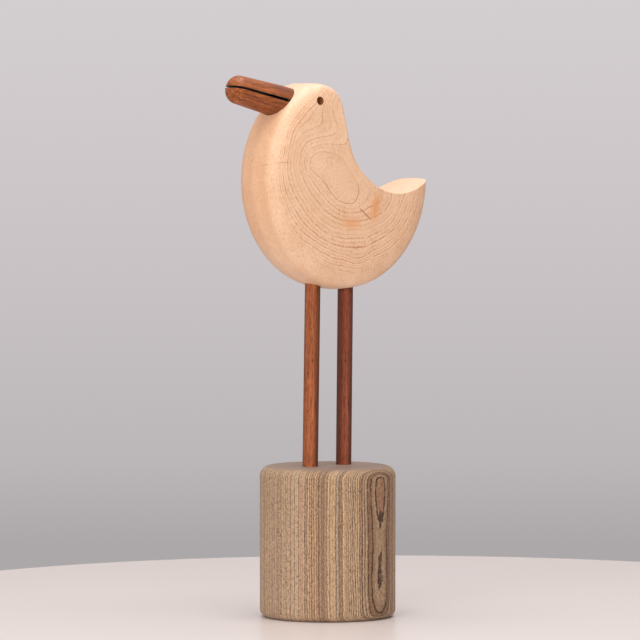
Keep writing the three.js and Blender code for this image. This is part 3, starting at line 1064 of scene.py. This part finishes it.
# Bands, as depth and half-width, with their strength and colour.
GREY_BAND = (8.6, 1.1)
GREY_BAND_STRENGTH = 0.6
GREY_BAND_COLOUR = (142, 134, 112)
PALE_LINE = (7.3, 0.28)
PALE_LINE_STRENGTH = 0.8
PALE_LINE_COLOUR = (226, 200, 160)
PALE_INSIDE = (0.6, 0.32)
PALE_INSIDE_STRENGTH = 0.5
PALE_INSIDE_COLOUR = (212, 184, 152)
PALE_SHEETS = (0.3, 0.5)
PALE_SHEETS_START = (1.2, 1.3)
THIN_SHEETS_PALENESS = 0.8

# Dark lines between the sheets, dotted, thicker deeper down, and finer and unbroken in the outermost sheets.
DOT_SIZE = 0.9
DOT_HEIGHT = 0.9
DOT_EDGE = (0.38, 0.56)
WEAKEST_DOT = 0.25
SHEET_LINE_WIDTHS = (0.1, 0.2)
SHEET_LINE_WIDENS = (8, 26)
SHEET_LINE_CORE = 0.4
SHEET_LINE_PICK = (0.25, 0.6)
WEAKEST_SHEET_LINE = 0.2
SHEET_LINE_STRENGTH = 0.8
OUTER_LINES_END = (1.6, 1.2)
OUTER_LINE_EDGE = (0.07, 0.03)
OUTER_LINE_STRENGTH = 0.95
SHEET_LINE_SHADE = 0.8
SHEET_LINE_COLOUR = (66, 48, 38)

# Roughness and height: plain, and what the fibres, the pores and, for height, the lines add to it.
LAMINATE_ROUGHNESS = (0.54, 0.14, 0.1)
LAMINATE_HEIGHT = (0, 0.03, -0.04, -0.03)
LAMINATE_COAT = 0.03
LAMINATE_GLOSS = 0.3


def sheet_depth(wood):
    """The depth below the near side at which a place lies in the pressed stack of sheets."""
    across = wood.vector("DOT_PRODUCT", wood.place, LAYER_NORMAL)
    sideways = wood.vector("DOT_PRODUCT", wood.place, LAYER_TANGENT)
    bulges = [wood.times(wood.spot(sideways, wood.z, centre, sizes), height)
              for centre, sizes, height in BULGES]
    tall = wood.join(wood.x, wood.y, wood.times(wood.z, SLOW_WAVE_HEIGHT))
    waves = wood.add(*[wood.sway(tall, size, amount) for size, amount in SLOW_WAVES])
    slow = wood.times(waves, wood.step(across, *INNER_SHEETS))
    ripple = wood.sway(wood.join(wood.x, wood.y, wood.times(wood.z, RIPPLE_HEIGHT)), *RIPPLE)
    pressed = wood.add(across, LAYER_DIP, *bulges, slow, ripple)
    return wood.add(BASE_RADIUS, wood.times(pressed, -1))


def sheet_lines(wood, depth, boundary, from_boundary):
    """How dark the lines between the sheets are."""
    dot_place = wood.join(wood.x, wood.y, wood.times(wood.z, DOT_HEIGHT))
    dots = wood.between(wood.step(wood.noise(dot_place, DOT_SIZE, 2), *DOT_EDGE), WEAKEST_DOT, 1)
    width = wood.between(wood.step(depth, *SHEET_LINE_WIDENS), *SHEET_LINE_WIDTHS)
    line = wood.step(from_boundary, width, wood.times(width, SHEET_LINE_CORE))
    pick = wood.step(wood.random(wood.add(boundary, 0.37)), *SHEET_LINE_PICK)
    strength = wood.add(wood.between(pick, WEAKEST_SHEET_LINE, 1), wood.step(depth, *THIN_SHEETS_EDGE))
    line = wood.times(line, dots, strength, SHEET_LINE_STRENGTH)
    outer = wood.times(wood.step(depth, *OUTER_LINES_END), wood.step(from_boundary, *OUTER_LINE_EDGE),
                       OUTER_LINE_STRENGTH)
    return wood.math("MAXIMUM", line, outer)


def laminated():
    """Thin sheets of dyed wood, glued in a stack, with the stack's edges on the block's side."""
    wood = Wood("laminated_wood")
    depth = sheet_depth(wood)
    beyond = wood.math("MAXIMUM", wood.add(depth, -THIN_SHEETS_DEPTH), 0.0)
    sheets = wood.times(wood.add(depth, wood.times(beyond, -0.5)), 1 / LAYER)
    number = wood.math("FLOOR", sheets)
    within = wood.math("FRACT", sheets)
    boundary = wood.math("ROUND", sheets)
    from_boundary = wood.times(wood.math("ABSOLUTE", wood.add(sheets, wood.times(boundary, -1))), LAYER)
    pick = wood.random(number)

    colour = wood.ramp(pick, SHEET_TONES)
    colour = wood.overlay(colour, depth, OUTER_SHEETS, wood.step(depth, *OUTERMOST_SHEET))
    colour = wood.overlay(colour, depth, PALE_CORE)
    grey_band = wood.times(wood.ridge(depth, *GREY_BAND), GREY_BAND_STRENGTH)
    colour = wood.mix(grey_band, colour, GREY_BAND_COLOUR)
    pale_pick = wood.math("MAXIMUM", wood.step(wood.random(wood.add(number, 0.71)), *PALE_SHEETS),
                          wood.times(wood.step(depth, *THIN_SHEETS_EDGE), THIN_SHEETS_PALENESS))
    pale = wood.times(wood.ridge(within, *PALE_INSIDE), pale_pick, wood.step(depth, *PALE_SHEETS_START))
    colour = wood.mix(wood.times(pale, PALE_INSIDE_STRENGTH), colour, PALE_INSIDE_COLOUR)
    pale_line = wood.times(wood.ridge(depth, *PALE_LINE), PALE_LINE_STRENGTH)
    colour = wood.mix(pale_line, colour, PALE_LINE_COLOUR)

    fibres = wood.grain(wood.axes, LAMINATE_FIBRE_SIZES, 3, 0.7)
    colour = wood.overlay(colour, fibres, DARK_LAMINATE_FIBRES)
    colour = wood.overlay(colour, fibres, PALE_LAMINATE_FIBRES)
    pore_noise = wood.grain(wood.axes, LAMINATE_PORE_SIZES, 1)
    porous = wood.step(pick, *PORE_FREE_SHEETS)
    colour = wood.overlay(colour, pore_noise, LAMINATE_PORES, porous)
    line = sheet_lines(wood, depth, boundary, from_boundary)
    colour = wood.mix(wood.times(line, SHEET_LINE_SHADE), colour, SHEET_LINE_COLOUR)

    # End grain, on the flat top and the underside, takes the finish darker, and the grey in this colour is a
    # painted reflection of the grey wall.
    upright = wood.math("ABSOLUTE", wood.parts(wood.normal())[2])
    colour = wood.overlay(colour, upright, END_GRAIN_AND_REFLECTION)

    pores = wood.times(wood.step(pore_noise, *LAMINATE_PORES[0]), porous)
    roughness = wood.weighed(LAMINATE_ROUGHNESS, fibres, pores)
    height = wood.weighed(LAMINATE_HEIGHT, fibres, pores, line)
    return wood.finish(colour, roughness, height, LAMINATE_COAT, LAMINATE_GLOSS)


# ---------- the pieces

dressed(base_block(), laminated(), "base_block")
dressed(bird_body(), maple(), "bird_body")
dressed(beak(), walnut("beak_walnut_wood", beak_frame(), BEAK_TONES, BEAK_GLOSS, mouth=True),
        "beak")
dressed(leg("front_leg", "front_dowel"),
        walnut("front_leg_wood", leg_frame("front_leg")[0], FRONT_LEG_TONES, LEG_GLOSS, FRONT_LEG_SHADE_AND_HEART),
        "front_leg")
dressed(leg("rear_leg", "rear_dowel"),
        walnut("shaded_rear_leg_wood", leg_frame("rear_leg")[0], SHADED_REAR_LEG_TONES, LEG_GLOSS, REAR_LEG_SHADE_AND_HEART),
        "rear_leg")

# ---------- camera

CAMERA_PLACE = Vector((-1.7246, -1.9095, 0.2693))
CAMERA_AIM = Vector((-0.0029, 0.0027, 0.153))
CAMERA_LENS = 281.25


def camera():
    lens = bpy.data.cameras.new("camera")
    lens.lens = CAMERA_LENS
    lens.sensor_width = 36
    lens.clip_start = 0.05
    lens.clip_end = 20
    eye = bpy.data.objects.new("camera", lens)
    eye.location = CAMERA_PLACE
    eye.rotation_euler = (CAMERA_AIM - CAMERA_PLACE).to_track_quat("-Z", "Y").to_euler()
    bpy.context.scene.collection.objects.link(eye)
    bpy.context.scene.camera = eye


# ---------- floor, background and lights

FLOOR_RADIUS = 300
FLOOR_RIGHT = 31
FLOOR_BACK = 42
FLOOR_THICKNESS = 12
FLOOR_EDGE = 3
FLOOR_EDGE_STEPS = 6
FLOOR_SIDES = 160
FLOOR_COLOUR = (224, 216, 215)
FLOOR_ROUGHNESS = 0.32
FLOOR_GLOSS = 0.4


def floor():
    """A round pale table top."""
    view = Vector((CAMERA_AIM.x - CAMERA_PLACE.x, CAMERA_AIM.y - CAMERA_PLACE.y, 0)).normalized()
    right = Vector((view.y, -view.x, 0))
    centre = view * FLOOR_BACK + right * FLOOR_RIGHT
    profile = [(0, -FLOOR_THICKNESS), (FLOOR_RADIUS - FLOOR_EDGE, -FLOOR_THICKNESS)]
    profile += arc((FLOOR_RADIUS - FLOOR_EDGE, -FLOOR_EDGE), FLOOR_EDGE, 0, math.pi / 2, FLOOR_EDGE_STEPS)
    profile += [(0, 0)]
    top = turned("table_top", profile, FLOOR_SIDES, Matrix.Translation(centre))
    material = bpy.data.materials.new("pale_floor")
    material.use_nodes = True
    fill(material.node_tree.nodes["Principled BSDF"],
         {"Base Color": linear(FLOOR_COLOUR), "Roughness": FLOOR_ROUGHNESS,
          "Specular IOR Level": FLOOR_GLOSS})
    coated(top, material)


# The wall's colours from its foot to its top, which are seen at these heights of the direction of sight.
WALL_COLOURS = ((0.0, (172, 168, 169)), (0.15, (187, 182, 184)), (0.45, (199, 193, 195)),
                (0.8, (208, 202, 204)), (1.0, (211, 206, 208)))
WALL_FOOT = -0.09
WALL_TOP = 0.02
FILL_COLOUR = (255, 228, 206)
FILL_STRENGTH = 0.42


def background():
    """A pale grey wall behind everything, a little darker towards its foot, and soft light from all round."""
    world = bpy.data.worlds.new("studio")
    bpy.context.scene.world = world
    world.use_nodes = True
    nodes = world.node_tree.nodes
    link = world.node_tree.links.new
    light = nodes["Background"]
    fill(light, {"Color": linear(FILL_COLOUR), "Strength": FILL_STRENGTH})

    direction = nodes.new("ShaderNodeTexCoord")
    parts = nodes.new("ShaderNodeSeparateXYZ")
    height = nodes.new("ShaderNodeMapRange")
    fill(height, {"From Min": WALL_FOOT, "From Max": WALL_TOP})
    ramp = nodes.new("ShaderNodeValToRGB")
    set_stops(ramp, WALL_COLOURS)
    wall = nodes.new("ShaderNodeBackground")
    link(direction.outputs["Generated"], parts.inputs[0])
    link(parts.outputs["Z"], height.inputs["Value"])
    link(height.outputs["Result"], ramp.inputs[0])
    link(ramp.outputs[0], wall.inputs[0])

    # Only the camera and shiny surfaces see the wall.
    ray = nodes.new("ShaderNodeLightPath")
    seen = nodes.new("ShaderNodeMath")
    seen.operation = "MAXIMUM"
    link(ray.outputs["Is Camera Ray"], seen.inputs[0])
    link(ray.outputs["Is Glossy Ray"], seen.inputs[1])
    either = nodes.new("ShaderNodeMixShader")
    link(seen.outputs[0], either.inputs[0])
    link(light.outputs[0], either.inputs[1])
    link(wall.outputs[0], either.inputs[2])
    link(either.outputs[0], nodes["World Output"].inputs[0])


LIGHT_AIM = Vector((0, 0, 0.16))


def softbox(name, azimuth, elevation, distance, width, height, power, colour=(255, 255, 255),
            mirrored=False):
    """A large rectangular light, aimed at the object. Azimuth 0 is in front of its left side.

    Only a mirrored one shows in shiny surfaces.
    """
    lamp = bpy.data.lights.new(name, "AREA")
    lamp.shape = "RECTANGLE"
    lamp.size = width
    lamp.size_y = height
    lamp.energy = power
    lamp.color = linear(colour)[:3]
    box = bpy.data.objects.new(name, lamp)
    a, e = math.radians(azimuth), math.radians(elevation)
    back = Vector((math.sin(a) * math.cos(e), -math.cos(a) * math.cos(e), math.sin(e)))
    box.location = LIGHT_AIM + back * distance
    box.rotation_euler = (-back).to_track_quat("-Z", "Y").to_euler()
    box.visible_camera = False
    box.visible_glossy = mirrored
    bpy.context.scene.collection.objects.link(box)


camera()
floor()
background()
softbox("top", azimuth=-20, elevation=85, distance=1.2, width=1.0, height=1.0, power=13.4,
        colour=(248, 253, 255), mirrored=True)
softbox("left", azimuth=-62, elevation=8, distance=1.5, width=0.8, height=0.4, power=9.2)
softbox("front", azimuth=-30, elevation=8, distance=1.5, width=0.8, height=0.4, power=5.2)
bpy.context.scene.view_settings.view_transform = "Standard"
